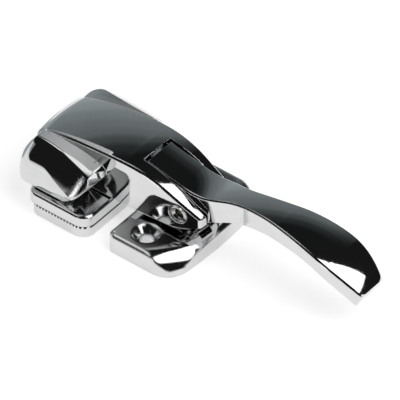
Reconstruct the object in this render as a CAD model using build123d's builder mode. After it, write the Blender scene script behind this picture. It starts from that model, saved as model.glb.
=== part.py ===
"""Over centre toggle latch: a chrome die-cast draw hook, closed by a lever over a serrated keeper.

Frame: the mounting surface is z = 0. The two screw holes of the base lie on the line x = 0, at y = +/-.
+X points along the lever to its tip, -X to the keeper, and y = 0 is the plane of symmetry.
The latch is drawn closed. Sizes are in millimetres.
"""

import os
from math import cos, radians, sin, sqrt

from build123d import *

os.makedirs("parts", exist_ok=True)

# ---- screws, pins and clearances -------------------------------------------------------------
screw_hole_d = 5.3
countersink_d = 10.4
pin_d = 5.0
running_clearance = 0.05
part_gap = 0.3

# ---- base ------------------------------------------------------------------------------------
base_half_width = 27.0
base_left = -11.8
base_right = 19.7
base_height = 8.0
base_draft = 2.0
base_bow_radius = 180.0
base_left_corner = 3.5
base_right_corner = 9.0
base_top_bevel = 1.1
base_screw_y = 18.0
shoulder_axis_x = -22.3
shoulder_start = 36.7
shoulder_radius = 9.0
core_height = 4.2
core_wall = 2.8
core_end_x = 11.5
core_corner = 2.0
core_rib = 2.2
screw_boss_d = 12.0

# ---- base pivot ------------------------------------------------------------------------------
base_pin_x = 0.4
base_pin_z = 18.0
lug_thickness = 6.0
lug_radius = 4.7
lug_foot = 14.0
pin_chamfer = 0.4

# ---- hook pin: carried by the lever, past the base pin and a little below it -----------------
link_arm = 8.5
link_drop_angle = 5.0
rivet_head_d = 7.3
rivet_head_height = 0.7
rivet_bore_d = 3.6
rivet_bore_depth = 5.0
rivet_mouth_d = 5.4
spot_face_d = 7.7

# ---- lever -----------------------------------------------------------------------------------
tail_x = -8.4
tail_top_z = 30.0
tail_half_width = 7.2
tail_thickness = 3.4
lever_dip_x = 7.0
lever_dip_z = 26.6
lever_crest_x = 50.0
lever_crest_z = 31.6
neck_start_x = 13.0
arm_gap = 6.6
arm_gap_z = 23.4
arm_gap_end_x = 18.5
eye_radius = 4.5
tip_x = 88.0
tip_z = 18.4
tip_corner = 2.5
heel_x = 20.5  # where the top's dip turns up into its crest
heel_z = 27.1
brow_x = 74.0  # where the crest turns down to the tip
brow_z = 27.6
neck_x = 24.0  # plan points between neck, waist and blade
neck_half_width = 6.0
swell_x = 50.0
swell_half_width = 7.1
under_tip = (86.0, 13.8)  # the underside's points, tip to eyes
under_blade = (72.0, 22.4)
under_crest = (57.0, 25.1)
under_waist = (37.0, 22.5)
under_neck = (22.0, 17.0)
under_heel = (12.0, 13.3)
tip_half_width = 6.2
waist_x = 34.0
waist_half_width = 5.2
blade_x = 70.0
blade_half_width = 9.6
lever_skin = 2.4
lever_rim = 2.6
channel_start_x = 21.0
channel_end_x = 84.0
lever_edge_bevel = 0.6

# ---- hook body -------------------------------------------------------------------------------
arch_x = -14.0
arch_top = 31.2
arch_radius = 128.0
nose_x = -57.6
nose_radius = 9.0
bend_radius = 41.0
cheek_slope = 27.5
cheek_end_x = 19.3
cheek_end_radius = 2.4
cheek_rise_x = 6.0
cheek_end_z = 16.2
cheek_mid_x = 14.0
cheek_mid_z = 12.6
hook_bottom = 10.3
hook_half_width = 13.1
hook_widest_x = -22.0
hook_plan_radius = 290.0
hook_end_corner = 3.2
crown_radius = 75
hook_edge_bevel = 0.7
hook_skin = 2.8
slot_gap_side = 0.3
slot_end_gap = 0.7
slot_end_lean = 2.0
chamber_left = -13.5
chamber_rib = 2.0
claw_root = 1.9
hollow_rib = 2.0
hollow_half_width = 10.0

# ---- hook head: wings that cover the keeper's screws -----------------------------------------
head_half_width = 25.5
head_x = -42.0
head_top = 27.2
head_nose_radius = 12
head_round = 15.4
head_gap_half_width = 10.5
head_gap_z = 20.0
ledge_start_x = -55
ledge_start_z = 22.8
ledge_x = -41
ledge_z = 25.4
ledge_end_x = -26.8
ledge_end_z = 24.1
ledge_fall = 0.06  # how much the ledge falls away sideways, per millimetre
toe_x = -21.8
toe_z = 21.3
toe_mid_x = -26.6
toe_mid_z = 14.8
toe_foot_x = -32.5
head_left = -56.2
head_right_corner = 4.0
head_right_lean = 5.0
head_shoulder = 7
wing_wall = 2.2
claw_left = -56.0
claw_half_width = 11.5
claw_overlap = 4.8
claw_corner = 1.5

# ---- keeper: a slotted upper block on a serrated rack plate ----------------------------------
keeper_half_width = 28.2
keeper_right = -19.9
keeper_length = 28.2
keeper_height = 4.6
keeper_corner = 5.0
keeper_edge_bevel = 0.7
rack_length = 26.7
rack_height = 5.0
keeper_screw_x = -39.5
keeper_screw_y = 18.0
slot_length = 9.0
tooth_pitch = 1.4
groove_depth = 0.75
ridge_height = 0.35
tooth_flank = 0.8  # how far a tooth's side runs along, per millimetre of depth

# ---- places worked out from the sizes --------------------------------------------------------
hook_pin_x = base_pin_x + link_arm * cos(radians(link_drop_angle))
hook_pin_z = base_pin_z - link_arm * sin(radians(link_drop_angle))
arch_centre_z = arch_top - arch_radius
nose_centre_x = nose_x + nose_radius
nose_reach = arch_radius - nose_radius
nose_centre_z = arch_centre_z + sqrt(nose_reach**2 - (nose_centre_x - arch_x) ** 2)
nose_tangent_x = arch_x + (nose_centre_x - arch_x) * arch_radius / nose_reach
nose_tangent_z = arch_centre_z + (nose_centre_z - arch_centre_z) * arch_radius / nose_reach
slope_sin = sin(radians(cheek_slope))
slope_cos = cos(radians(cheek_slope))
slope_start_x = arch_x + bend_radius * slope_sin
slope_start_z = arch_top - bend_radius * (1 - slope_cos)
keeper_left = keeper_right - keeper_length
claw_face_x = keeper_left - part_gap
claw_bottom = rack_height + keeper_height - claw_overlap
end_run = cheek_end_radius * (1 - slope_sin) / slope_cos
hollow_left = claw_face_x + claw_root
slot_x = tail_x - slot_end_gap
hollow_length = chamber_left - chamber_rib - hollow_left
SIDE = Plane.XZ


def hook_y(x):
    """Half width of the hook's body at x: its sides are long arcs in plan."""
    return hook_half_width - hook_plan_radius + sqrt(hook_plan_radius**2 - (x - hook_widest_x) ** 2)


def slope_z(x):
    """Height of the straight slope on the hook's cheeks at x."""
    return slope_start_z - (x - slope_start_x) * slope_sin / slope_cos


spot_face_y = hook_y(hook_pin_x + spot_face_d * 0.75)

# ---- base: a flat pad each side, a rounded shoulder at the front, and the pivot lug -----------
with BuildPart() as base:
    with BuildSketch():
        with Locations((base_left, 0)):
            Rectangle(base_right - base_left, 2 * base_half_width, align=(Align.MIN, Align.CENTER))
        with Locations((base_right - base_bow_radius, 0)):
            Circle(base_bow_radius, mode=Mode.INTERSECT)
        fillet(vertices().group_by(Axis.X)[0], base_left_corner)
        fillet(vertices().group_by(Axis.X)[-1], base_right_corner)
    extrude(amount=base_height, taper=base_draft)
    chamfer(faces().sort_by(Axis.Z)[-1].edges(), base_top_bevel)
    with BuildSketch(SIDE):
        shoulder_x = shoulder_axis_x + shoulder_start
        shoulder_end = shoulder_x + shoulder_radius
        shoulder_foot = base_height - shoulder_radius
        with BuildLine():
            RadiusArc((shoulder_x, base_height), (shoulder_end, shoulder_foot), shoulder_radius)
            Polyline(
                (shoulder_end, shoulder_foot),
                (shoulder_end + shoulder_radius, shoulder_foot),
                (shoulder_end + shoulder_radius, base_height + 1),
                (shoulder_x, base_height + 1),
                (shoulder_x, base_height),
            )
        make_face()
    revolve(axis=Axis((shoulder_axis_x, 0, 0), (0, 0, 1)), mode=Mode.SUBTRACT)
    with BuildSketch(SIDE):
        with BuildLine():
            Polyline(
                (base_pin_x - lug_foot / 2, base_height - 1),
                (base_pin_x + lug_foot / 2, base_height - 1),
                (base_pin_x + lug_radius, base_pin_z),
                (base_pin_x - lug_radius, base_pin_z),
                close=True,
            )
        make_face()
        with Locations((base_pin_x, base_pin_z)):
            Circle(lug_radius)
            Circle(pin_d / 2, mode=Mode.SUBTRACT)
    extrude(amount=lug_thickness / 2, both=True)
    with Locations((0, base_screw_y, base_height), (0, -base_screw_y, base_height)):
        CounterSinkHole(screw_hole_d / 2, countersink_d / 2)
    with BuildSketch():
        core_left = base_left + core_wall
        core_inner = lug_thickness / 2 + core_wall
        core_x = (core_left + core_end_x) / 2
        core_y = (core_inner + base_half_width - core_wall) / 2
        with Locations((core_x, core_y), (core_x, -core_y)):
            Rectangle(core_end_x - core_left, 2 * (core_y - core_inner))
        fillet(vertices(), core_corner)
        with Locations((0, base_screw_y), (0, -base_screw_y)):
            Circle(screw_boss_d / 2, mode=Mode.SUBTRACT)
            Rectangle(base_half_width, core_rib, mode=Mode.SUBTRACT)
            Rectangle(core_rib, base_half_width, mode=Mode.SUBTRACT)
    extrude(amount=core_height, mode=Mode.SUBTRACT)

base.part.label = "base"
export_step(base.part, "parts/base.step")

# ---- base pin: pressed in the lug, and the lever turns on its ends -----------------------------
with BuildPart() as base_pin:
    with BuildSketch(SIDE):
        with Locations((base_pin_x, base_pin_z)):
            Circle(pin_d / 2)
    extrude(amount=tail_half_width, both=True)
    chamfer(edges().filter_by(GeomType.CIRCLE), pin_chamfer)

base_pin.part.label = "base_pin"
export_step(base_pin.part, "parts/base_pin.step")

# ---- lever: a tail that fills the hook's slot, two arms round the lug, and a flared blade ------
tail_run = lever_dip_x - tail_x
tail_fall = tail_top_z - lever_dip_z
tail_len = sqrt(tail_run**2 + tail_fall**2)
tail_foot_x = tail_x - tail_thickness * tail_fall / tail_len
tail_foot_z = tail_top_z - tail_thickness * tail_run / tail_len

with BuildLine() as lever_top:
    run = Line((tail_x, tail_top_z), (lever_dip_x, lever_dip_z))
    for x, z in ((heel_x, heel_z), (lever_crest_x, lever_crest_z), (brow_x, brow_z), (tip_x, tip_z)):
        run = TangentArc(run @ 1, (x, z), tangent=run % 1)

with BuildSketch() as lever_plan:
    with BuildLine():
        Line((tail_foot_x - 1, 0), (tail_foot_x - 1, tail_half_width))
        run = Line((tail_foot_x - 1, tail_half_width), (neck_start_x, tail_half_width))
        for x, y in (
            (neck_x, neck_half_width),
            (waist_x, waist_half_width),
            (swell_x, swell_half_width),
            (blade_x, blade_half_width),
            (tip_x, tip_half_width),
        ):
            run = TangentArc(run @ 1, (x, y), tangent=run % 1)
        Line((tip_x, tip_half_width), (tip_x, 0))
        mirror(about=Plane.XZ)
    make_face()
    fillet(vertices().group_by(Axis.X)[-1], tip_corner)

with BuildPart() as lever_channel:
    with BuildSketch(SIDE):
        with BuildLine():
            add(lever_top.line)
            Polyline((tip_x, tip_z), (tip_x, -tip_z), (tail_x, -tip_z), (tail_x, tail_top_z))
        make_face()
        offset(amount=-lever_skin, mode=Mode.REPLACE)
    extrude(amount=2 * blade_half_width, both=True)
    with BuildSketch():
        add(lever_plan.sketch)
        offset(amount=-lever_rim, mode=Mode.REPLACE)
        with Locations((channel_start_x, 0)):
            Rectangle(
                channel_end_x - channel_start_x,
                2 * blade_half_width,
                align=(Align.MIN, Align.CENTER),
                mode=Mode.INTERSECT,
            )
    extrude(amount=2 * arch_top, mode=Mode.INTERSECT)

with BuildPart() as lever:
    with BuildSketch(SIDE):
        with BuildLine():
            add(lever_top.line)
            Line((tip_x, tip_z), under_tip)
            ThreePointArc(under_tip, under_blade, under_crest)
            ThreePointArc(under_crest, under_waist, under_neck)
            Polyline(
                under_neck,
                under_heel,
                (hook_pin_x, hook_pin_z),
                (base_pin_x - eye_radius, base_pin_z),
                (base_pin_x - eye_radius, tail_foot_z - part_gap),
                (tail_foot_x, tail_foot_z),
                (tail_x, tail_top_z),
            )
        make_face()
        with Locations((base_pin_x, base_pin_z), (hook_pin_x, hook_pin_z)):
            Circle(eye_radius)
    extrude(amount=2 * blade_half_width, both=True)
    with BuildSketch():
        add(lever_plan.sketch)
    extrude(amount=2 * arch_top, mode=Mode.INTERSECT)
    upper = faces().filter_by(lambda f: f.normal_at().Z > 0.5).edges()
    upper = upper.filter_by(lambda e: abs(e.center().Y) > waist_half_width / 2)
    chamfer(upper.filter_by(lambda e: e.center().X > tail_x + lever_rim), lever_edge_bevel)
    add(lever_channel.part, mode=Mode.SUBTRACT)
    with BuildSketch(SIDE):
        with BuildLine():
            Polyline(
                (tail_foot_x - 2, 0),
                (tail_foot_x - 2, arm_gap_z),
                (hook_pin_x, arm_gap_z),
                (arm_gap_end_x, arm_gap_z - 3),
                (arm_gap_end_x, 0),
                close=True,
            )
        make_face()
    extrude(amount=arm_gap / 2, both=True, mode=Mode.SUBTRACT)
    with BuildSketch(SIDE):
        with Locations((base_pin_x, base_pin_z), (hook_pin_x, hook_pin_z)):
            Circle(pin_d / 2 + running_clearance)
    extrude(amount=blade_half_width, both=True, mode=Mode.SUBTRACT)

lever.part.label = "lever"
export_step(lever.part, "parts/lever.step")

# ---- hook head: rounded wings across the nose, hollow beneath ------------------------------------
def head_solid(inset, foot_z):
    """The head's outer form, or with an inset the hollow inside its walls, down to foot_z."""
    round_foot = head_top - head_round
    gap_run = head_gap_half_width - (head_half_width - head_round)
    gap_top = round_foot + sqrt(head_round**2 - gap_run**2)
    nose_foot = head_top - head_nose_radius
    right_x = toe_x + part_gap
    lift = ledge_fall * (hook_half_width - head_gap_half_width + part_gap) - inset
    with BuildPart() as solid:
        with BuildSketch(Plane.YZ.offset(head_x)):
            with BuildLine():
                RadiusArc((head_gap_half_width, gap_top), (head_half_width, round_foot), head_round)
                Polyline((head_half_width, round_foot), (head_half_width, -arch_top), (0, -arch_top))
                Polyline((head_gap_half_width, gap_top), (head_gap_half_width, head_gap_z), (0, head_gap_z))
                mirror(about=Plane.YZ)
            make_face()
            if inset:
                offset(amount=-inset, mode=Mode.REPLACE)
        revolve(axis=Axis((head_x, 0, head_top - arch_radius), (0, 1, 0)))
        with BuildSketch(SIDE):
            with BuildLine():
                Polyline((toe_foot_x, hook_bottom), (toe_foot_x, -arch_top), (head_left, -arch_top))
                Line((head_left, -arch_top), (head_left, nose_foot))
                TangentArc((head_left, nose_foot), (head_left + head_nose_radius, head_top), tangent=(0, 1))
                Polyline(
                    (head_left + head_nose_radius, head_top),
                    (ledge_end_x, head_top),
                    (ledge_end_x, ledge_end_z),
                )
                TangentArc((ledge_end_x, ledge_end_z), (toe_x, toe_z), tangent=(1, 0))
                ThreePointArc((toe_x, toe_z), (toe_mid_x, toe_mid_z), (toe_foot_x, hook_bottom))
            make_face()
            if inset:
                offset(amount=-inset, mode=Mode.REPLACE)
        extrude(amount=2 * head_half_width, both=True, mode=Mode.INTERSECT)
        with BuildSketch(Plane.XY.offset(foot_z)):
            with BuildLine():
                Polyline(
                    (head_left, -head_half_width),
                    (head_left, head_half_width),
                    (right_x - head_right_lean, head_half_width),
                    (right_x, head_gap_half_width),
                    (right_x, -head_gap_half_width),
                    (right_x - head_right_lean, -head_half_width),
                    close=True,
                )
            make_face()
            outer = vertices().filter_by(lambda v: abs(v.Y) > head_gap_half_width + 1)
            fillet(outer.filter_by(lambda v: v.X > head_x), head_right_corner)
            if inset:
                offset(amount=-inset, mode=Mode.REPLACE)
        extrude(amount=2 * arch_top, mode=Mode.INTERSECT)
        if not inset:
            shoulder = edges().filter_by(lambda e: abs(e.center().Y) > head_gap_half_width + 2)
            shoulder = shoulder.filter_by(lambda e: e.center().X < nose_centre_x and e.center().Z > foot_z + 0.1)
            fillet(shoulder.filter_by(lambda e: abs((e % 0.5).Y) < 0.9), head_shoulder)
        for side in (1, -1):
            with BuildSketch(SIDE.offset(-side * (head_gap_half_width - part_gap))):
                with BuildLine():
                    ThreePointArc(
                        (ledge_start_x, ledge_start_z + lift),
                        (ledge_x, ledge_z + lift),
                        (ledge_end_x + 1, ledge_end_z + lift),
                    )
                    Polyline(
                        (ledge_end_x + 1, ledge_end_z + lift),
                        (ledge_end_x + 1, 2 * arch_top),
                        (ledge_start_x, 2 * arch_top),
                        (ledge_start_x, ledge_start_z + lift),
                    )
                make_face()
            extrude(amount=head_half_width, dir=(0, side, -ledge_fall), mode=Mode.SUBTRACT)
    return solid.part


with BuildPart() as wing_core:
    add(head_solid(wing_wall, hook_bottom - arch_top))
    Box(4 * head_half_width, 2 * hook_half_width, 4 * arch_top, mode=Mode.SUBTRACT)

with BuildPart() as hollow:
    with BuildSketch(SIDE):
        with Locations((arch_x, arch_centre_z)):
            Circle(arch_radius - hook_skin)
        with Locations((hollow_left, 0)):
            Rectangle(hollow_length, 2 * arch_top, align=(Align.MIN, Align.CENTER), mode=Mode.INTERSECT)
    extrude(amount=hollow_half_width, both=True)
    Box(4 * arch_top, hollow_rib, 4 * arch_top, mode=Mode.SUBTRACT)

# ---- the hook's top: everything above a shallow crown that follows the arch from nose to cheeks --
with BuildLine(SIDE) as crown_path:
    end_corner_z = slope_z(cheek_end_x)
    end_run_top = (cheek_end_x - end_run * slope_cos, end_corner_z + end_run * slope_sin)
    Line((nose_x, claw_bottom), (nose_x, nose_centre_z))
    RadiusArc((nose_x, nose_centre_z), (nose_tangent_x, nose_tangent_z), nose_radius)
    TangentArc(
        (nose_tangent_x, nose_tangent_z),
        (arch_x, arch_top),
        tangent=(nose_centre_z - arch_centre_z, arch_x - nose_centre_x),
    )
    TangentArc((arch_x, arch_top), (slope_start_x, slope_start_z), tangent=(1, 0))
    Line((slope_start_x, slope_start_z), end_run_top)
    TangentArc(end_run_top, (cheek_end_x, end_corner_z - end_run), tangent=(slope_cos, -slope_sin))
    Line((cheek_end_x, end_corner_z - end_run), (cheek_end_x, claw_bottom))

with BuildPart() as over_crown:
    with BuildSketch(Plane.XY.offset(claw_bottom)):
        over_y = hook_half_width + 2
        crown_x = nose_x + over_y**2 / (2 * crown_radius)
        clear_x = nose_x - arch_top / 2
        with BuildLine():
            ThreePointArc((crown_x, -over_y), (nose_x, 0), (crown_x, over_y))
            Polyline((crown_x, over_y), (clear_x, over_y), (clear_x, -over_y), (crown_x, -over_y))
        make_face()
    sweep(path=crown_path.wires()[0])

# ---- hook body: long bowed sides under the crown, with the head, the claw and the lever's slot ----
with BuildPart() as hook_body:
    with BuildSketch(SIDE):
        left_x = nose_x - 1
        right_x = cheek_end_x + 1
        with BuildLine():
            Polyline(
                (cheek_rise_x, hook_bottom),
                (left_x, hook_bottom),
                (left_x, arch_top + 1),
                (right_x, arch_top + 1),
                (right_x, cheek_end_z),
            )
            ThreePointArc((right_x, cheek_end_z), (cheek_mid_x, cheek_mid_z), (cheek_rise_x, hook_bottom))
        make_face()
    extrude(amount=hook_half_width, both=True)
    with BuildSketch():
        end_y = hook_y(right_x)
        nose_y = hook_y(left_x)
        with BuildLine():
            Line((right_x, -end_y), (right_x, end_y))
            ThreePointArc((right_x, end_y), (hook_widest_x, hook_half_width), (left_x, nose_y))
            Line((left_x, nose_y), (left_x, -nose_y))
            ThreePointArc((left_x, -nose_y), (hook_widest_x, -hook_half_width), (right_x, -end_y))
        make_face()
    extrude(amount=2 * arch_top, mode=Mode.INTERSECT)
    add(over_crown.part, mode=Mode.SUBTRACT)
    rim = edges().filter_by(lambda e: abs(e.center().Y) > 7 and e.center().Z > nose_centre_z)
    chamfer(rim.filter_by(GeomType.LINE, reverse=True), hook_edge_bevel)
    with BuildSketch():
        corner_x = cheek_end_x - hook_end_corner
        with Locations((cheek_end_x + part_gap, 0)):
            Rectangle(2 * arch_top, 2 * hook_y(corner_x), align=(Align.MAX, Align.CENTER))
        fillet(vertices().group_by(Axis.X)[-1], hook_end_corner)
        with Locations((corner_x, 0)):
            Rectangle(3 * arch_top, 4 * hook_half_width, align=(Align.MAX, Align.CENTER))
    extrude(amount=2 * arch_top, mode=Mode.INTERSECT)
    add(head_solid(0, hook_bottom))
    add(wing_core.part, mode=Mode.SUBTRACT)
    with BuildSketch(Plane.XY.offset(claw_bottom)):
        with Locations((claw_left, 0)):
            Rectangle(claw_face_x - claw_left, 2 * claw_half_width, align=(Align.MIN, Align.CENTER))
        fillet(vertices().group_by(Axis.X)[0], claw_corner)
    extrude(amount=nose_centre_z - claw_bottom)
    add(hollow.part, mode=Mode.SUBTRACT)
    with BuildSketch(SIDE):
        with BuildLine():
            Polyline(
                (chamber_left, 0),
                (chamber_left, arch_top - hook_skin),
                (slot_x - slot_end_lean, arch_top - hook_skin),
                (slot_x + slot_end_lean, arch_top + hook_skin),
                (cheek_end_x + 1, arch_top + hook_skin),
                (cheek_end_x + 1, 0),
                close=True,
            )
        make_face()
    extrude(amount=tail_half_width + slot_gap_side, both=True, mode=Mode.SUBTRACT)
    with BuildSketch(SIDE):
        with Locations((hook_pin_x, hook_pin_z)):
            Circle(pin_d / 2)
    extrude(amount=hook_half_width, both=True, mode=Mode.SUBTRACT)
    for side in (1, -1):
        with BuildSketch(SIDE.offset(-side * spot_face_y)):
            with Locations((hook_pin_x, hook_pin_z)):
                Circle(spot_face_d / 2)
        extrude(amount=-side * hook_half_width, mode=Mode.SUBTRACT)

hook_body.part.label = "hook_body"
export_step(hook_body.part, "parts/hook_body.step")

# ---- hook pin: a tubular rivet pressed in the cheeks, flared over their spot faces ---------------
with BuildPart() as hook_pin:
    with BuildSketch(Plane.XY.offset(hook_pin_z)):
        pin_end = spot_face_y + rivet_head_height
        with BuildLine():
            Polyline(
                (hook_pin_x, 0),
                (hook_pin_x + pin_d / 2, 0),
                (hook_pin_x + pin_d / 2, spot_face_y),
                (hook_pin_x + rivet_head_d / 2, spot_face_y),
                (hook_pin_x + rivet_head_d / 2, spot_face_y + rivet_head_height / 3),
                (hook_pin_x + (rivet_head_d + rivet_mouth_d) / 4, spot_face_y + rivet_head_height * 3 / 4),
                (hook_pin_x + rivet_mouth_d / 2, pin_end),
                (hook_pin_x + rivet_bore_d / 2, pin_end - rivet_head_height * 1.4),
                (hook_pin_x + rivet_bore_d / 2, pin_end - rivet_bore_depth),
                (hook_pin_x, pin_end - rivet_bore_depth),
                (hook_pin_x, 0),
            )
        make_face()
        mirror(about=Plane.XZ)
    revolve(axis=Axis((hook_pin_x, 0, hook_pin_z), (0, 1, 0)))

hook_pin.part.label = "hook_pin"
export_step(hook_pin.part, "parts/hook_pin.step")

# ---- keeper: slotted for its screws, ridged beneath to lock in the rack ---------------------------
groove_count = int(rack_length / tooth_pitch) - 1
groove_start = keeper_right - part_gap / 3 - rack_length / 2 - tooth_pitch * (groove_count - 1) / 2
groove_x = [groove_start + tooth_pitch * i for i in range(groove_count)]
groove_half = groove_depth * tooth_flank

with BuildPart() as keeper:
    keeper_x = keeper_left + keeper_length / 2
    with BuildSketch(Plane.XY.offset(rack_height)):
        with Locations((keeper_x, 0)):
            Rectangle(keeper_length, 2 * keeper_half_width)
        fillet(vertices(), keeper_corner)
    extrude(amount=keeper_height)
    chamfer(faces().sort_by(Axis.Z)[-1].edges(), keeper_edge_bevel)
    with BuildSketch(Plane.XY.offset(rack_height)):
        with Locations((keeper_screw_x, keeper_screw_y), (keeper_screw_x, -keeper_screw_y)):
            SlotOverall(slot_length, screw_hole_d)
    extrude(amount=keeper_height, mode=Mode.SUBTRACT)
    with BuildSketch(SIDE):
        for x in groove_x:
            with BuildLine():
                Polyline(
                    (x - ridge_height * tooth_flank, rack_height),
                    (x, rack_height - ridge_height),
                    (x + ridge_height * tooth_flank, rack_height),
                    close=True,
                )
            make_face()
    extrude(amount=keeper_half_width - keeper_corner, both=True)
    with BuildSketch(Plane.XY.offset(rack_height - ridge_height)):
        with Locations((keeper_screw_x, keeper_screw_y), (keeper_screw_x, -keeper_screw_y)):
            SlotOverall(slot_length, screw_hole_d)
    extrude(amount=keeper_height, mode=Mode.SUBTRACT)

keeper.part.label = "keeper"
export_step(keeper.part, "parts/keeper.step")

# ---- keeper rack: screwed down first, so that the keeper can be set tooth by tooth ----------------
with BuildPart() as keeper_rack:
    with BuildSketch():
        with Locations((keeper_right - part_gap / 3 - rack_length / 2, 0)):
            Rectangle(rack_length, 2 * keeper_half_width)
        fillet(vertices(), keeper_corner)
        with Locations((keeper_screw_x, keeper_screw_y), (keeper_screw_x, -keeper_screw_y)):
            Circle(screw_hole_d / 2, mode=Mode.SUBTRACT)
    extrude(amount=rack_height)
    with BuildSketch(SIDE):
        for x in groove_x:
            with BuildLine():
                Polyline(
                    (x - groove_half, rack_height),
                    (x, rack_height - groove_depth),
                    (x + groove_half, rack_height),
                    close=True,
                )
            make_face()
    extrude(amount=keeper_half_width, both=True, mode=Mode.SUBTRACT)

keeper_rack.part.label = "keeper_rack"
export_step(keeper_rack.part, "parts/keeper_rack.step")
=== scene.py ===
"""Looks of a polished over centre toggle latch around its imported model."""

import math

import bpy
from mathutils import Matrix, Vector

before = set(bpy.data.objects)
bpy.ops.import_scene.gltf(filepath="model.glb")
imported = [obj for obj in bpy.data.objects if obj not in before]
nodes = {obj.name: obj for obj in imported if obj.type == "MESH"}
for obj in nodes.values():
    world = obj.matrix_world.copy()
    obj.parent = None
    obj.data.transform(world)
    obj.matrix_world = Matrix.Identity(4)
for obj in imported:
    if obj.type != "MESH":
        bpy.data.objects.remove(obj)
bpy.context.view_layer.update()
bpy.ops.object.select_all(action="DESELECT")

MM = 0.001

# ---- the plating's colours, as linear red, green and blue ---------------------------------------
CHROME = (0.66, 0.665, 0.67)
CHROME_DULL = (0.58, 0.585, 0.60)
STEEL = (0.50, 0.49, 0.475)
STEEL_DULL = (0.36, 0.35, 0.34)
# painted shade: the near black given to the gaps between the rack's teeth and the joint above them
GAP_SHADE = (0.03, 0.028, 0.027)

# ---- the polish: noise scales are per metre, ranges are where an effect starts and is full ------
CLOUD_SCALE, CLOUD_RANGE, CLOUD_SHARE = 90, (0.42, 0.68), 0.35
LINE_SCALE, LINE_RANGE, LINE_ROUGH, LINE_HEIGHT = 420, (0.3, 0.7), 0.02, 0.004
LINE_STRETCH = (0.35, 3.0, 3.0)
SMUDGE_SCALE, SMUDGE_RANGE = 160, (0.52, 0.72)
SPECK_SCALE, SPECK_RANGE, SPECK_SHARE = 1400, (0.74, 0.80), 0.5
WAVE_SCALE = 70
BUMP_STRENGTH = 0.5
BUMP_DISTANCE = 0.2 * MM
EDGE_SAMPLES = 8
EDGE_RADIUS = 0.4 * MM
BASE_RADIUS = 1.8 * MM
KEEPER_RADIUS = 0.7 * MM

# ---- the lever's crown across its top: the lean per metre from the middle line ------------------
LEVER_LEAN = 22.0
CROWN_FACING = (0.3, 0.6)  # how far up a face looks before it leans

# ---- the hook's head: its wings start this far out from the middle line and end at this x -------
WING_SIDE = (10.6 * MM, 11.0 * MM)
WING_END = (-20 * MM, -22 * MM)
# the outer edge of each ledge is at LEDGE_SIDE where x is LEDGE_START, and moves out along x
LEDGE_START = -52 * MM
LEDGE_SIDE = 14.6 * MM
LEDGE_SLOPE = 0.204
LEDGE_BAND = 1.0 * MM  # the lean grows over this width past the edge
LEDGE_INSIDE = (0.2 * MM, -0.3 * MM)
LEDGE_FACING = (0.88, 0.94)
LEDGE_LEFT = (-53 * MM, -52 * MM)
LEDGE_SATIN = 0.45  # the roughness added on the ledge's floor
LEDGE_LEAN = 0.42  # leans and lifts are added to a normal of length 1
SHOULDER_LEAN = 1.2
SHOULDER_FACING = (0.45, 1.0)
NEAR_TO_FAR = (-1.0 * MM, 1.0 * MM)
BACK_SHARE = 0.0  # how much of the sideways lean the far wing gets
WING_TURN = 4.5 * MM  # the radius that each wing's right end turns with
WING_TURN_RANGE = (-38 * MM, -33 * MM)
WING_TURN_BAND = 1.0 * MM
# below the line z + x * FLANK_SLOPE = FLANK_LINE, and below FLANK_TOP, the wing's side is unchanged
FLANK_SLOPE = 0.5
FLANK_LINE = -2.0 * MM
FLANK_TOP = 20.6 * MM
FLANK_BAND = (-0.3 * MM, 0.5 * MM)
FLANK_LIFT = 0.52
NOSE_LIFT = 0.7
NOSE_RANGE = (-52.0 * MM, -54.5 * MM)
NOSE_FACING = (0.90, 0.70)

# ---- painted shade in the gaps between the rack's teeth -----------------------------------------
SEAM_HEIGHT = 4.5 * MM
SEAM_HALF_WIDTH = 0.6 * MM
SEAM_EDGE = 0.8  # the share of the half width where the painted shade begins to fade
SEAM_JOINT = (0.5, 0.8)  # shares of the half width between which the painted shade in the joint above grows
SEAM_JOINT_DARK = 0.5
TOOTH_START = -45.25 * MM
TOOTH_PITCH = 1.4 * MM
TOOTH_RANGE = (-0.35, 0.25)

# ---- the studio ---------------------------------------------------------------------------------
FLOOR_COLOUR = (0.86, 0.845, 0.84)
FLOOR_GLOW = 0.66
FLOOR_FADE = (0.25, 1.1)  # metres from the middle between which the glow grows to white
FLOOR_SIZE = 12  # metres
FLOOR_DROP = 0.02 * MM  # under the seats, so that no face lies in the floor
CAMERA_AZIMUTH = 38.4  # degrees
CAMERA_ELEVATION = 42.0
CAMERA_DISTANCE = 3.0  # metres
CAMERA_TARGET = (8.8, 1.6, 15.0)  # millimetres
PIXELS_PER_MM = 2.79
IMAGE_SIDE = 400  # pixels
SENSOR = 36.0  # millimetres
CLIP = (0.01, 20)  # metres
WALL_TINT = (0.89, 1.0, 1.02)
WALL_STOPS = (
    # the height of the direction from 0 to 1, level
    (0.0, 0.50),
    (0.12, 0.44),
    (0.25, 0.36),
    (0.37, 0.27),
    (0.50, 0.21),
    (0.58, 0.17),
    (0.65, 0.09),
    (0.72, 0.035),
    (0.80, 0.012),
)
PATCHES = (
    # towards, level, half angle in degrees: light walls that only mirrors pick out
    ((-0.46, -0.25, 0.85), 1.15, 20.0),
    ((-0.10, -0.97, 0.22), 3.0, 7.0),
)
PATCH_EDGE = (1.25, 0.85)  # shares of the half angle where a patch starts and is full
DARK_LEVEL = 0.012
DARK_RIGHT = (-0.22, 0.05)
DARK_FRONT = ((-0.05, -0.35), (-0.85, -0.75))  # along north, along east
LEFT_LEVEL = 1.0
LEFT_WALL = ((-0.43, -0.47), (0.02, -0.22), (0.16, 0.10))  # along east, north and up
# the soft box: the way to it, its width's direction, and its distance and size in metres
BOX_WAY = (0.56, 0.13, 0.82)
BOX_ACROSS = (-0.224, 0.578, 0.207)
BOX_DISTANCE = 1.1
BOX_SIZE = (0.85, 0.95)
BOX_RADIANCE = 2.3


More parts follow.
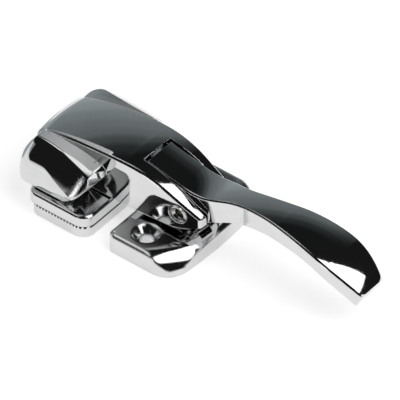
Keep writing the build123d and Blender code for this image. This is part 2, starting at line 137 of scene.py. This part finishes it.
def group(name, inputs, outputs):
    """A shader node group with named sockets; each input is (type, name, default)."""
    tree = bpy.data.node_groups.new(name, "ShaderNodeTree")
    for kind, label, default in inputs:
        socket = tree.interface.new_socket(label, in_out="INPUT", socket_type="NodeSocket" + kind)
        socket.default_value = default
    for kind, label in outputs:
        tree.interface.new_socket(label, in_out="OUTPUT", socket_type="NodeSocket" + kind)
    return tree, tree.nodes.new("NodeGroupInput"), tree.nodes.new("NodeGroupOutput")


def wire(tree, *pairs):
    """Links each (output, input) pair of sockets."""
    for out, into in pairs:
        tree.links.new(out, into)


def noise(tree, vector, scale, detail, rough=0.5, stretch=None):
    """A noise texture on a vector, with the scale per metre, stretched along an axis if asked."""
    node = tree.nodes.new("ShaderNodeTexNoise")
    node.inputs["Scale"].default_value = scale
    node.inputs["Detail"].default_value = detail
    node.inputs["Roughness"].default_value = rough
    if stretch:
        mapping = tree.nodes.new("ShaderNodeMapping")
        mapping.inputs["Scale"].default_value = stretch
        wire(tree, (vector, mapping.inputs["Vector"]))
        vector = mapping.outputs["Vector"]
    wire(tree, (vector, node.inputs["Vector"]))
    return node.outputs["Fac"]


def spread(tree, value, low, high, to_low=0.0, to_high=1.0):
    """Maps low..high of a value onto another range, held at its ends."""
    node = tree.nodes.new("ShaderNodeMapRange")
    numbers = {"From Min": low, "From Max": high, "To Min": to_low, "To Max": to_high}
    for label, number in numbers.items():
        node.inputs[label].default_value = number
    wire(tree, (value, node.inputs["Value"]))
    return node.outputs["Result"]


def math_node(tree, how, a, b):
    """A math node on two sockets or numbers."""
    node = tree.nodes.new("ShaderNodeMath")
    node.operation = how
    for socket, value in zip(node.inputs, (a, b)):
        if isinstance(value, (int, float)):
            socket.default_value = value
        else:
            wire(tree, (value, socket))
    return node.outputs[0]


def mix_colour(tree, fac, a, b):
    """A colour mix of two sockets or colours."""
    node = tree.nodes.new("ShaderNodeMix")
    node.data_type = "RGBA"
    for label, value in {"Factor": fac, "A": a, "B": b}.items():
        socket = node.inputs[label]
        if isinstance(value, (int, float)):
            socket.default_value = value
        elif isinstance(value, tuple):
            socket.default_value = (*value, 1.0)
        else:
            wire(tree, (value, socket))
    return node.outputs["Result"]


def polish_group():
    """Plated metal: faint clouding, fine buffing lines, handling smudges and a slight waviness."""
    tree, given, out = group(
        "polished_plating",
        [
            ("Vector", "Place", (0.0, 0.0, 0.0)),
            ("Color", "Bright", (*CHROME, 1.0)),
            ("Color", "Dull", (*CHROME_DULL, 1.0)),
            ("Float", "Gloss", 0.04),
            ("Float", "Smudge", 0.06),
            ("Float", "Wave", 0.05),
        ],
        [("Color", "Colour"), ("Float", "Roughness"), ("Float", "Height")],
    )
    place = given.outputs["Place"]
    cloud = spread(tree, noise(tree, place, CLOUD_SCALE, 4), *CLOUD_RANGE)
    lines = noise(tree, place, LINE_SCALE, 3, 0.6, LINE_STRETCH)
    smudge = spread(tree, noise(tree, place, SMUDGE_SCALE, 5, 0.65), *SMUDGE_RANGE)
    speck = spread(tree, noise(tree, place, SPECK_SCALE, 1), *SPECK_RANGE)
    dull_share = math_node(tree, "MULTIPLY", cloud, CLOUD_SHARE)
    speck_share = math_node(tree, "MULTIPLY", speck, SPECK_SHARE)
    dull_share = math_node(tree, "MAXIMUM", dull_share, speck_share)
    colour = mix_colour(tree, dull_share, given.outputs["Bright"], given.outputs["Dull"])
    rough = math_node(tree, "MULTIPLY", smudge, given.outputs["Smudge"])
    rough = math_node(tree, "ADD", rough, given.outputs["Gloss"])
    rough = math_node(tree, "ADD", rough, spread(tree, lines, *LINE_RANGE, 0.0, LINE_ROUGH))
    wave = math_node(tree, "MULTIPLY", noise(tree, place, WAVE_SCALE, 1), given.outputs["Wave"])
    height = math_node(tree, "ADD", wave, math_node(tree, "MULTIPLY", lines, LINE_HEIGHT))
    wire(
        tree,
        (colour, out.inputs["Colour"]),
        (rough, out.inputs["Roughness"]),
        (height, out.inputs["Height"]),
    )
    return tree


POLISH = polish_group()


def parts_of(tree, vector):
    """The X, Y and Z of a vector socket."""
    split = tree.nodes.new("ShaderNodeSeparateXYZ")
    wire(tree, (vector, split.inputs["Vector"]))
    return split.outputs


def crown_group():
    """Leans the normal of upward faces sideways with the distance from the middle line."""
    tree, given, out = group(
        "cross_crown",
        [
            ("Vector", "Place", (0.0, 0.0, 0.0)),
            ("Vector", "Normal", (0.0, 0.0, 1.0)),
            ("Float", "Lean", 0.0),
        ],
        [("Vector", "Normal")],
    )
    at = parts_of(tree, given.outputs["Place"])
    facing = parts_of(tree, given.outputs["Normal"])
    lean = math_node(tree, "MULTIPLY", at["Y"], given.outputs["Lean"])
    lean = math_node(tree, "MULTIPLY", lean, spread(tree, facing["Z"], *CROWN_FACING))
    tilt = tree.nodes.new("ShaderNodeCombineXYZ")
    total = tree.nodes.new("ShaderNodeVectorMath")
    unit = tree.nodes.new("ShaderNodeVectorMath")
    unit.operation = "NORMALIZE"
    wire(
        tree,
        (lean, tilt.inputs["Y"]),
        (given.outputs["Normal"], total.inputs[0]),
        (tilt.outputs["Vector"], total.inputs[1]),
        (total.outputs["Vector"], unit.inputs[0]),
        (unit.outputs["Vector"], out.inputs["Normal"]),
    )
    return tree


CROWN = crown_group()


def head_group():
    """The head's wings: a crisp line under each ledge, a steep near shoulder and a satin floor."""
    tree, given, out = group(
        "head_shoulders",
        [
            ("Vector", "Place", (0.0, 0.0, 0.0)),
            ("Vector", "Normal", (0.0, 0.0, 1.0)),
            ("Vector", "Wide Normal", (0.0, 0.0, 1.0)),
        ],
        [("Vector", "Normal"), ("Float", "Roughness")],
    )
    at = parts_of(tree, given.outputs["Place"])
    facing = parts_of(tree, given.outputs["Normal"])

    def times(a, b):
        return math_node(tree, "MULTIPLY", a, b)

    # where on the head a point is: on a wing, and how far past its ledge's outer edge
    side = math_node(tree, "ABSOLUTE", at["Y"], 0.0)
    line = times(math_node(tree, "SUBTRACT", at["X"], LEDGE_START), LEDGE_SLOPE)
    past = math_node(tree, "SUBTRACT", side, math_node(tree, "ADD", line, LEDGE_SIDE))
    wing = times(spread(tree, side, *WING_SIDE), spread(tree, at["X"], *WING_END))

    # the shoulder and the ledge's floor lean sideways, on the near side
    upward = spread(tree, facing["Z"], *SHOULDER_FACING)
    steep = times(times(upward, upward), SHOULDER_LEAN)
    steep = times(steep, spread(tree, past, 0.0, LEDGE_BAND))
    steep = times(steep, wing)
    floor = times(wing, spread(tree, past, *LEDGE_INSIDE))
    floor = times(floor, spread(tree, facing["Z"], *LEDGE_FACING))
    floor = times(floor, spread(tree, at["X"], *LEDGE_LEFT))
    steep = math_node(tree, "ADD", steep, times(floor, LEDGE_LEAN))
    steep = times(steep, spread(tree, at["Y"], *NEAR_TO_FAR, -1.0, BACK_SHARE))

    # the right end of each wing turns with a wide radius
    turn = times(wing, spread(tree, at["X"], *WING_TURN_RANGE))
    turn = times(turn, spread(tree, past, 0.0, WING_TURN_BAND))
    blend = tree.nodes.new("ShaderNodeMix")
    blend.data_type = "VECTOR"
    wire(
        tree,
        (turn, blend.inputs["Factor"]),
        (given.outputs["Normal"], blend.inputs[4]),
        (given.outputs["Wide Normal"], blend.inputs[5]),
    )
    turned = blend.outputs[1]

    # the upper flank and the nose's rim look a little more upwards
    above = math_node(tree, "ADD", at["Z"], times(at["X"], FLANK_SLOPE))
    above = math_node(tree, "SUBTRACT", above, FLANK_LINE)
    above = math_node(tree, "MAXIMUM", above, math_node(tree, "SUBTRACT", at["Z"], FLANK_TOP))
    above = times(wing, spread(tree, above, *FLANK_BAND))
    above = times(above, spread(tree, past, 0.0, LEDGE_BAND))
    lift = spread(tree, parts_of(tree, turned)["Z"], 0.0, FLANK_LIFT, FLANK_LIFT, 0.0)
    lift = times(above, lift)
    nose = spread(tree, at["X"], *NOSE_RANGE, 0.0, NOSE_LIFT)
    nose = times(nose, spread(tree, facing["Z"], *NOSE_FACING))
    lift = math_node(tree, "MAXIMUM", lift, nose)

    tilt = tree.nodes.new("ShaderNodeCombineXYZ")
    total = tree.nodes.new("ShaderNodeVectorMath")
    unit = tree.nodes.new("ShaderNodeVectorMath")
    unit.operation = "NORMALIZE"
    wire(
        tree,
        (steep, tilt.inputs["Y"]),
        (lift, tilt.inputs["Z"]),
        (turned, total.inputs[0]),
        (tilt.outputs["Vector"], total.inputs[1]),
        (total.outputs["Vector"], unit.inputs[0]),
        (unit.outputs["Vector"], out.inputs["Normal"]),
        (times(floor, LEDGE_SATIN), out.inputs["Roughness"]),
    )
    return tree


HEAD = head_group()


def seam_shade(tree, place):
    """Painted shade: 1 in the gaps between the rack's teeth, and part of that in the joint above
    them.
    """
    at = parts_of(tree, place)
    off = math_node(tree, "ABSOLUTE", math_node(tree, "SUBTRACT", at["Z"], SEAM_HEIGHT), 0.0)
    tooth = math_node(tree, "SUBTRACT", at["X"], TOOTH_START)
    tooth = math_node(tree, "MULTIPLY", tooth, 2 * math.pi / TOOTH_PITCH)
    tooth = spread(tree, math_node(tree, "COSINE", tooth, 0.0), *TOOTH_RANGE)
    band = spread(tree, off, SEAM_HALF_WIDTH * SEAM_EDGE, SEAM_HALF_WIDTH, 1.0, 0.0)
    heights = (SEAM_HEIGHT + SEAM_HALF_WIDTH * share for share in SEAM_JOINT)
    joint = spread(tree, at["Z"], *heights, 0.0, SEAM_JOINT_DARK)
    return math_node(tree, "MAXIMUM", math_node(tree, "MULTIPLY", tooth, band), joint)


def plated(
    name, bright, dull, gloss, smudge, wave, edge=EDGE_RADIUS, seam=False, lean=0.0, head=False
):
    """A polished metal material with edges softened by a radius.

    seam paints shade into the gaps between the rack's teeth, lean crowns the top of the lever, and
    head shapes the shading of the hook's wings.
    """
    made = bpy.data.materials.new(name)
    made.use_nodes = True
    tree = made.node_tree
    shader = tree.nodes["Principled BSDF"]
    shader.inputs["Metallic"].default_value = 1.0
    place = tree.nodes.new("ShaderNodeTexCoord").outputs["Object"]
    finish = tree.nodes.new("ShaderNodeGroup")
    finish.node_tree = POLISH
    finish.inputs["Bright"].default_value = (*bright, 1.0)
    finish.inputs["Dull"].default_value = (*dull, 1.0)
    finish.inputs["Gloss"].default_value = gloss
    finish.inputs["Smudge"].default_value = smudge
    finish.inputs["Wave"].default_value = wave
    soft_edge = tree.nodes.new("ShaderNodeBevel")
    soft_edge.samples = EDGE_SAMPLES
    soft_edge.inputs["Radius"].default_value = edge
    bump = tree.nodes.new("ShaderNodeBump")
    bump.inputs["Strength"].default_value = BUMP_STRENGTH
    bump.inputs["Distance"].default_value = BUMP_DISTANCE
    colour = finish.outputs["Colour"]
    if seam:
        # the gaps between the rack's teeth and the joint above them get painted shade
        colour = mix_colour(tree, seam_shade(tree, place), colour, GAP_SHADE)
    facing = soft_edge.outputs["Normal"]
    if lean:
        crown = tree.nodes.new("ShaderNodeGroup")
        crown.node_tree = CROWN
        crown.inputs["Lean"].default_value = lean
        wire(tree, (place, crown.inputs["Place"]), (facing, crown.inputs["Normal"]))
        facing = crown.outputs["Normal"]
    rough = finish.outputs["Roughness"]
    if head:
        wide = tree.nodes.new("ShaderNodeBevel")
        wide.samples = 2 * EDGE_SAMPLES
        wide.inputs["Radius"].default_value = WING_TURN
        shoulders = tree.nodes.new("ShaderNodeGroup")
        shoulders.node_tree = HEAD
        wire(
            tree,
            (place, shoulders.inputs["Place"]),
            (facing, shoulders.inputs["Normal"]),
            (wide.outputs["Normal"], shoulders.inputs["Wide Normal"]),
        )
        facing = shoulders.outputs["Normal"]
        rough = math_node(tree, "ADD", rough, shoulders.outputs["Roughness"])
    wire(
        tree,
        (facing, bump.inputs["Normal"]),
        (place, finish.inputs["Place"]),
        (colour, shader.inputs["Base Color"]),
        (rough, shader.inputs["Roughness"]),
        (finish.outputs["Height"], bump.inputs["Height"]),
        (bump.outputs["Normal"], shader.inputs["Normal"]),
    )
    return made


def dress(node, material):
    """Gives a CAD node its finish."""
    mesh = nodes[node].data
    mesh.materials.clear()
    mesh.materials.append(material)


FINISHES = (
    # node, material, bright, dull, gloss, smudge, wave, what else it has
    ("hook_body", "hook_plating", CHROME, CHROME_DULL, 0.035, 0.05, 0.20, {"head": True}),
    ("lever", "lever_plating", CHROME, CHROME_DULL, 0.04, 0.05, 0.15, {"lean": LEVER_LEAN}),
    ("base", "base_plating", CHROME, CHROME_DULL, 0.06, 0.06, 0.25, {"edge": BASE_RADIUS}),
    ("keeper", "keeper_plating", CHROME, CHROME_DULL, 0.11, 0.08, 0.25, {"edge": KEEPER_RADIUS}),
    ("keeper_rack", "rack_plating", CHROME, CHROME_DULL, 0.07, 0.08, 0.30, {"seam": True}),
    ("hook_pin", "rivet_steel", STEEL, STEEL_DULL, 0.14, 0.10, 0.30, {}),
    ("base_pin", "pin_steel", STEEL, STEEL_DULL, 0.16, 0.10, 0.20, {}),
)
for node, material, bright, dull, gloss, smudge, wave, extras in FINISHES:
    dress(node, plated(material, bright, dull, gloss, smudge, wave, **extras))


# ---- camera, floor and light --------------------------------------------------------------------
def towards(azimuth, elevation):
    """The direction from the object to a viewer at that angle."""
    a, e = math.radians(azimuth), math.radians(elevation)
    return Vector((math.sin(a) * math.cos(e), -math.cos(a) * math.cos(e), math.sin(e)))


def add_camera():
    """A long lens from above the right front, with the picture's scale at the latch."""
    target = Vector(CAMERA_TARGET) * MM
    back = towards(CAMERA_AZIMUTH, CAMERA_ELEVATION)
    data = bpy.data.cameras.new("view")
    data.sensor_width = SENSOR
    data.lens = SENSOR * PIXELS_PER_MM * CAMERA_DISTANCE / MM / IMAGE_SIDE
    data.clip_start, data.clip_end = CLIP
    camera = bpy.data.objects.new("view", data)
    camera.location = target + back * CAMERA_DISTANCE
    camera.rotation_euler = (-back).to_track_quat("-Z", "Y").to_euler()
    bpy.context.scene.collection.objects.link(camera)
    bpy.context.scene.camera = camera


def seen_directly(tree):
    """1 for rays from the camera, and for those that mirrors and glass send on."""
    path = tree.nodes.new("ShaderNodeLightPath").outputs
    either = math_node(tree, "MAXIMUM", path["Is Camera Ray"], path["Is Glossy Ray"])
    return math_node(tree, "MAXIMUM", either, path["Is Transmission Ray"])


def add_floor():
    """A pale floor that takes the shadow and glows to white away from the latch."""
    bpy.ops.mesh.primitive_plane_add(size=FLOOR_SIZE, location=(0, 0, -FLOOR_DROP))
    floor = bpy.context.object
    floor.name = "floor"
    bpy.ops.object.transform_apply(location=True, rotation=True, scale=True)
    made = bpy.data.materials.new("pale_floor")
    made.use_nodes = True
    tree = made.node_tree
    tree.nodes.remove(tree.nodes["Principled BSDF"])
    lit = tree.nodes.new("ShaderNodeBsdfDiffuse")
    lit.inputs["Color"].default_value = (*FLOOR_COLOUR, 1.0)
    glow = tree.nodes.new("ShaderNodeEmission")
    both = tree.nodes.new("ShaderNodeAddShader")
    reach = tree.nodes.new("ShaderNodeVectorMath")
    reach.operation = "LENGTH"
    wire(tree, (tree.nodes.new("ShaderNodeTexCoord").outputs["Object"], reach.inputs[0]))
    level = spread(tree, reach.outputs["Value"], *FLOOR_FADE, FLOOR_GLOW, 1.0)
    wire(
        tree,
        (math_node(tree, "MULTIPLY", seen_directly(tree), level), glow.inputs["Strength"]),
        (lit.outputs[0], both.inputs[0]),
        (glow.outputs[0], both.inputs[1]),
        (both.outputs[0], tree.nodes["Material Output"].inputs["Surface"]),
    )
    floor.data.materials.append(made)


def add_panel(name, way, across, distance, size, radiance):
    """A soft box seen from the object along way, its width running along across."""
    data = bpy.data.lights.new(name, "AREA")
    data.shape = "RECTANGLE"
    data.size, data.size_y = size
    data.energy = radiance * math.pi * size[0] * size[1]
    panel = bpy.data.objects.new(name, data)
    back = Vector(way).normalized()
    side = Vector(across)
    side = (side - back * side.dot(back)).normalized()
    turn = Matrix((side, back.cross(side), back)).transposed()
    panel.matrix_world = Matrix.Translation(back * distance) @ turn.to_4x4()
    bpy.context.scene.collection.objects.link(panel)


def add_world():
    """White to the camera, and to mirrors a grey back wall, a light front left and a dark rest."""
    world = bpy.data.worlds.new("studio")
    bpy.context.scene.world = world
    world.use_nodes = True
    tree = world.node_tree
    tree.nodes.clear()
    way = tree.nodes.new("ShaderNodeTexCoord").outputs["Generated"]
    east, north, up = parts_of(tree, way)
    ramp = tree.nodes.new("ShaderNodeValToRGB")
    ramp.color_ramp.interpolation = "EASE"
    while len(ramp.color_ramp.elements) < len(WALL_STOPS):
        ramp.color_ramp.elements.new(0.5)
    for element, (place, level) in zip(ramp.color_ramp.elements, WALL_STOPS):
        element.position = place
        element.color = (*(level * tint for tint in WALL_TINT), 1.0)
    wire(tree, (up, ramp.inputs["Fac"]))
    dark_right = spread(tree, east, *DARK_RIGHT)
    dark_front = math_node(
        tree,
        "MULTIPLY",
        spread(tree, north, *DARK_FRONT[0]),
        spread(tree, east, *DARK_FRONT[1]),
    )
    dark = math_node(tree, "MAXIMUM", dark_right, dark_front)
    walls = mix_colour(tree, dark, ramp.outputs["Color"], (DARK_LEVEL, DARK_LEVEL, DARK_LEVEL))
    left, beside, below = (
        spread(tree, axis, *edges) for axis, edges in zip((east, north, up), LEFT_WALL)
    )
    left = math_node(tree, "MULTIPLY", math_node(tree, "MULTIPLY", left, beside), below)
    walls = mix_colour(tree, left, walls, (LEFT_LEVEL, LEFT_LEVEL, LEFT_LEVEL))
    for towards_it, level, half in PATCHES:
        dot = tree.nodes.new("ShaderNodeVectorMath")
        dot.operation = "DOT_PRODUCT"
        dot.inputs[1].default_value = Vector(towards_it).normalized()
        wire(tree, (way, dot.inputs[0]))
        edges = (math.cos(math.radians(half * share)) for share in PATCH_EDGE)
        patch = spread(tree, dot.outputs["Value"], *edges)
        walls = mix_colour(tree, patch, walls, (level, level, level))
    path = tree.nodes.new("ShaderNodeLightPath").outputs
    shown = math_node(tree, "MAXIMUM", path["Is Camera Ray"], path["Is Transmission Ray"])
    colour = mix_colour(tree, shown, walls, (1.0, 1.0, 1.0))
    background = tree.nodes.new("ShaderNodeBackground")
    out = tree.nodes.new("ShaderNodeOutputWorld")
    wire(
        tree,
        (colour, background.inputs["Color"]),
        (background.outputs[0], out.inputs["Surface"]),
    )


add_camera()
add_floor()
add_world()
add_panel("overhead_box", BOX_WAY, BOX_ACROSS, BOX_DISTANCE, BOX_SIZE, BOX_RADIANCE)

bpy.context.scene.view_settings.view_transform = "Standard"
